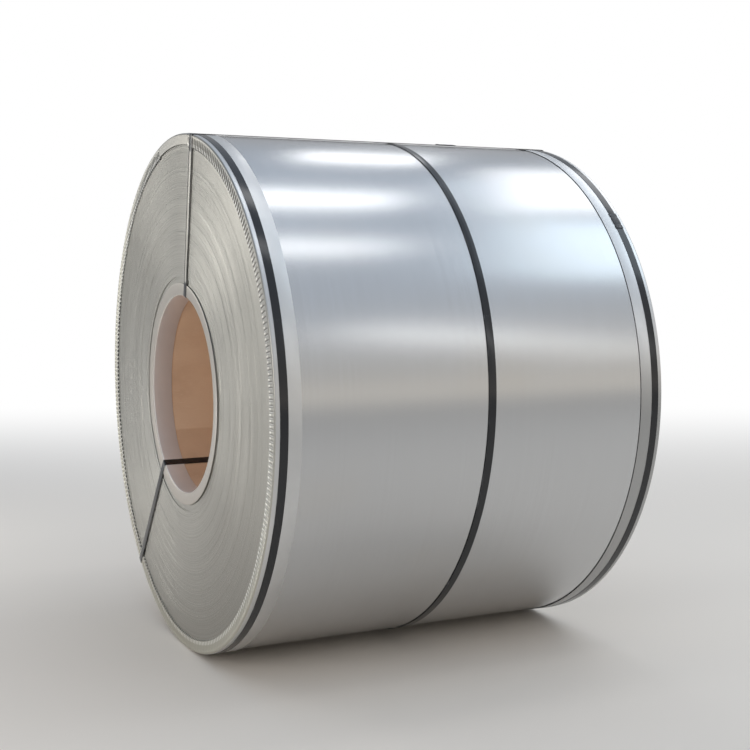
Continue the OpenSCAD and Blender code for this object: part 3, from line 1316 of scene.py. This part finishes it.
@dataclass
class Studio:
    """Floor, lamps, sky and camera."""

    axis_z: float
    lamps: tuple[Lamp, ...] = (
        Lamp("strip_back", (0.30, -0.20, 3.15), (1.25, 0.40), 2.4),
        Lamp("strip_front", (0.35, -1.36, 3.15), (1.25, 0.34), 2.0),
        Lamp("strip_far", (1.12, 1.50, 3.15), (0.66, 0.55), 2.4),
        Lamp("window_back", (2.45, 0.35, 3.15), (1.9, 1.4), 1.6),
        Lamp("window_front", (2.60, -1.32, 3.15), (1.7, 1.46), 1.40, (0.76, 0.90, 1.0)),
        Lamp("window_edge", (1.55, -0.60, 3.17), (0.36, 2.6), 0.6, (0.76, 0.89, 1.0)),
        Lamp("strip_low", (2.20, -3.90, 2.30), (2.9, 0.40), 1.25, (1.0, 1.0, 1.0), (3.9, -1.4, 0.65)),
        Lamp("side_high", (-2.12, 2.36, 1.36), (1.0, 0.9), 3.4, (1.0, 0.99, 0.95), (-0.5, 0.0, 0.8)),
        Lamp("side_low", (-1.72, 1.79, 0.33), (0.55, 0.24), 5.0, (1.0, 0.99, 0.95), (-0.5, 0.0, 0.4)),
        Lamp("patch", (3.05, -3.90, 1.76), (0.9, 0.5), 0.55, (1.0, 0.98, 0.92), (0.5, -0.5, 0.7)),
        Lamp("bore", (-2.60, -1.50, 1.20), (1.0, 1.0), 4.5, (1.0, 0.97, 0.93), (-0.2, 0.25, 0.65)),
    )
    sky_back: Ramp = (
        (0.00, (1.0, 1.0, 1.0, 1.0)),
        (0.20, (1.0, 1.0, 1.0, 1.0)),
        (0.28, (0.36, 0.36, 0.37, 1.0)),
        (0.45, (0.46, 0.48, 0.51, 1.0)),
        (0.80, (0.52, 0.59, 0.69, 1.0)),
        (1.00, (0.50, 0.58, 0.69, 1.0)),
    )
    sky_front: Ramp = (
        (0.00, (0.97, 0.91, 0.82, 1.0)),
        (0.05, (0.84, 0.79, 0.72, 1.0)),
        (0.16, (0.58, 0.57, 0.55, 1.0)),
        (0.35, (0.62, 0.63, 0.64, 1.0)),
        (0.60, (0.58, 0.63, 0.70, 1.0)),
        (1.00, (0.50, 0.58, 0.69, 1.0)),
    )
    sky_left: Ramp = (
        (0.00, (0.38, 0.38, 0.37, 1.0)),
        (0.40, (0.37, 0.38, 0.39, 1.0)),
        (1.00, (0.50, 0.58, 0.69, 1.0)),
    )
    back_edge: Pair = (-0.25, 0.25)
    left_edge: Pair = (0.13, -0.20)
    eye: Point = (-1.4657, -3.0971, 0.9775)
    look_down: float = math.radians(4.934)
    look_right: float = math.radians(26.028)
    lens: float = 60.95
    sensor: float = 36.0
    floor_r: float = 30.0
    floor_sides: int = 96

    def _floor(self) -> None:
        """Lay the floor."""
        bm = bmesh.new()
        bmesh.ops.create_circle(bm, cap_ends=True, radius=self.floor_r, segments=self.floor_sides)
        mesh = bpy.data.meshes.new("floor")
        bm.to_mesh(mesh)
        bm.free()
        mesh.materials.append(FloorPaper().make())
        floor = add_object("floor", mesh)

    def _lamps(self) -> None:
        """Hang the lamps, unseen by the camera itself."""
        for lamp in self.lamps:
            data = bpy.data.lights.new(lamp.name, "AREA")
            data.shape = "RECTANGLE"
            data.size, data.size_y = lamp.size
            data.energy = lamp.radiance * math.pi * lamp.size[0] * lamp.size[1]
            data.color = lamp.tint
            light = add_object(lamp.name, data)
            light.location = lamp.middle
            aim = Vector(lamp.aim or (lamp.middle[0], 0.0, self.axis_z))
            light.rotation_euler = (aim - Vector(lamp.middle)).to_track_quat("-Z", "Y").to_euler()
            light.visible_camera = False

    def _sky(self) -> None:
        """Light the room: white low down behind, cream low down in front, grey to the left and above."""
        world = bpy.data.worlds.new("studio")
        world.use_nodes = True
        bpy.context.scene.world = world
        graph = Graph(world.node_tree)
        right, back, up = graph.split(graph.node("ShaderNodeTexCoord", output="Generated"))
        behind, before, beside = (graph.node("ShaderNodeValToRGB", {"stops": stops}, {"Fac": up})
                                  for stops in (self.sky_back, self.sky_front, self.sky_left))
        color = graph.mix(back.ease(*self.back_edge), before, behind)
        color = graph.mix(right.ease(*self.left_edge), color, beside)
        light = graph.node("ShaderNodeBackground", None, {"Color": color, "Strength": 1.0})
        graph.node("ShaderNodeOutputWorld", None, {"Surface": light})

    def _camera(self) -> None:
        """Stand the camera where the photograph was taken from."""
        data = bpy.data.cameras.new("camera")
        data.sensor_width, data.lens = self.sensor, self.lens
        camera = add_object("camera", data)
        camera.location = self.eye
        camera.rotation_euler = (math.pi / 2.0 - self.look_down, 0.0, -self.look_right)
        bpy.context.scene.camera = camera

    def build(self) -> None:
        """Set up the whole studio."""
        self._floor()
        self._lamps()
        self._sky()
        self._camera()
        bpy.context.scene.view_settings.view_transform = "Standard"


@dataclass
class SteelCoil:
    """The whole coil, with the sizes that its pieces share."""

    axis_z: float
    lean: float = math.radians(1.4)
    eye_upper: float = math.radians(100.0)
    eye_lower: float = math.radians(-52.0)
    seal_right: float = math.radians(138.0)
    seal_back: float = math.radians(58.0)
    seal_eye_x: float = 200.0 * MM
    strap_w: float = 19.0 * MM
    strap_t: float = 0.8 * MM
    rim_gap: float = 0.2 * MM
    bore_gap: float = 0.8 * MM
    rim_touch: float = 6.0 * MM
    # Margin and share of the painted highlight stripe on the upper eye strap.
    highlight_margin: float = 2.0 * MM
    highlight_share: float = 0.85
    outer_valley: float = 1.0 * MM
    inner_valley: float = 0.8 * MM
    crest_l: float = 14.0 * MM
    # How much painted shade the right ring's leg gets towards the bottom.
    low_shade_share: float = 0.9
    pieces: list[bpy.types.Object] = field(default_factory=list)

    def span(self, node: str) -> Span:
        """Reach of one of the CAD nodes."""
        return Span.of(node, self.axis_z)

    def _rings(self, lathe: Lathe, coil: Span) -> None:
        """Build the four edge rings.

        Args:
            lathe: Lathe on the coil's axis.
            coil: Reach of the wound strip.
        """
        for end in End:
            side = end.name.lower()
            outer, inner = self.span(f"outer_ring_{side}"), self.span(f"inner_ring_{side}")
            # crest_r places the painted highlight on the flute crests.
            fluted = GalvanisedSheet(f"edge_ring_{side}", self.axis_z, outer.face,
                                     coil.right + self.outer_valley, outer.inner + OuterRing.flute_l,
                                     crest_r=outer.inner + self.crest_l,
                                     low_shade_share=self.low_shade_share if end is End.RIGHT else 0.0)
            self.pieces.append(OuterRing(lathe, end, outer, coil.right).build(fluted))
            # The bore ring's flange is coloured darker than its leg: painted shade on the end face.
            smooth = GalvanisedSheet(f"bore_ring_{side}", self.axis_z, inner.face,
                                     inner.face - self.inner_valley, flute_r=0.0, bend_r=inner.inner,
                                     leg=(0.80, 0.76, 0.75, 1.0), leg_dull=(0.72, 0.68, 0.67, 1.0),
                                     flange=(0.46, 0.43, 0.39, 1.0), warm=(0.50, 0.45, 0.40, 1.0),
                                     metallic=0.4, painted_shade_share=0.0)
            self.pieces.append(InnerRing(lathe, end, inner).build(smooth))

    def _bands(self, lathe: Lathe, seal_finish: bpy.types.Material) -> None:
        """Build the three bands and their seals.

        Args:
            lathe: Lathe on the coil's axis.
            seal_finish: Material of the seals.
        """
        for name, lean, seal_angle in (("left", 0.0, self.seal_back), ("middle", self.lean, self.seal_back),
                                       ("right", 0.0, self.seal_right)):
            span = self.span(f"band_strap_{name}")
            inner = span.outer - self.strap_t if lean else span.inner
            paint = StrapPaint(f"band_paint_{name}", (span.middle, 0.0, self.axis_z), (0.0, -lean, 0.0),
                               Run.ROUND, 0.5 * self.strap_w)
            band = BandStrap(lathe, f"band_{name}", f"band_strap_{name}", span.middle, self.strap_w, inner,
                             self.strap_t, lean)
            self.pieces.append(band.build(paint))
            seal = StrapSeal(lathe, f"crimp_{name}", f"seal_{name}", Run.ROUND, seal_angle, span.middle,
                             inner, self.strap_w, self.strap_t, lean)
            self.pieces.append(seal.build(seal_finish))

    def _eye_straps(self, lathe: Lathe, seal_finish: bpy.types.Material) -> None:
        """Build the two eye straps and their seals.

        Args:
            lathe: Lathe on the coil's axis.
            seal_finish: Material of the seals.
        """
        rim, bore = self.span("outer_ring_right"), self.span("inner_ring_right")
        # Painted highlight stripe along the upper eye strap between the rings.
        stripe = PaintedStreak(bore.outer + self.highlight_margin, rim.inner - self.highlight_margin, self.highlight_share)
        for name, angle, wear_and_highlight in (("upper", self.eye_upper, stripe), ("lower", self.eye_lower, None)):
            span = self.span(f"eye_strap_{name}")
            run_r = math.sqrt(span.outer ** 2 - (0.5 * self.strap_w) ** 2) - self.strap_t
            paint = StrapPaint(f"eye_paint_{name}", (0.0, 0.0, self.axis_z), (-angle, 0.0, 0.0), Run.STRAIGHT,
                               0.5 * self.strap_w, wear_and_highlight)
            strap = EyeStrap(lathe, f"eye_{name}", f"eye_strap_{name}", angle, self.strap_w, self.strap_t,
                             run_r, span.inner + self.strap_t, rim.right + self.rim_gap,
                             bore.right + self.bore_gap, rim.inner - self.rim_touch)
            self.pieces.append(strap.build(paint))
            seal = StrapSeal(lathe, f"crimp_eye_{name}", f"seal_eye_{name}", Run.STRAIGHT, angle,
                             self.seal_eye_x, run_r, self.strap_w, self.strap_t)
            self.pieces.append(seal.build(seal_finish))

    def build(self) -> None:
        """Build every piece in order."""
        lathe, coil = Lathe(self.axis_z), self.span("coil")
        steel = StripSteel(self.axis_z, coil.right, coil.outer)
        self.pieces.append(WoundStrip(lathe, coil).build(steel))
        self.pieces.append(BoreLiner(lathe, self.span("bore_liner")).build(LinerBoard(self.axis_z)))
        self._rings(lathe, coil)
        seal_finish = SealPaint().make()
        self._bands(lathe, seal_finish)
        self._eye_straps(lathe, seal_finish)


def main() -> None:
    """Build the coil and the studio."""
    logging.basicConfig(level=logging.INFO, format="%(name)s: %(message)s")
    bore = next(mount for mount in frame["record"]["mounts"] if mount["name"] == "bore")
    axis_z = bore["pos_m"][2]
    coil = SteelCoil(axis_z)
    coil.build()
    Studio(axis_z).build()
    log.info("%d pieces", len(coil.pieces))


if __name__ == "__main__":
    main()
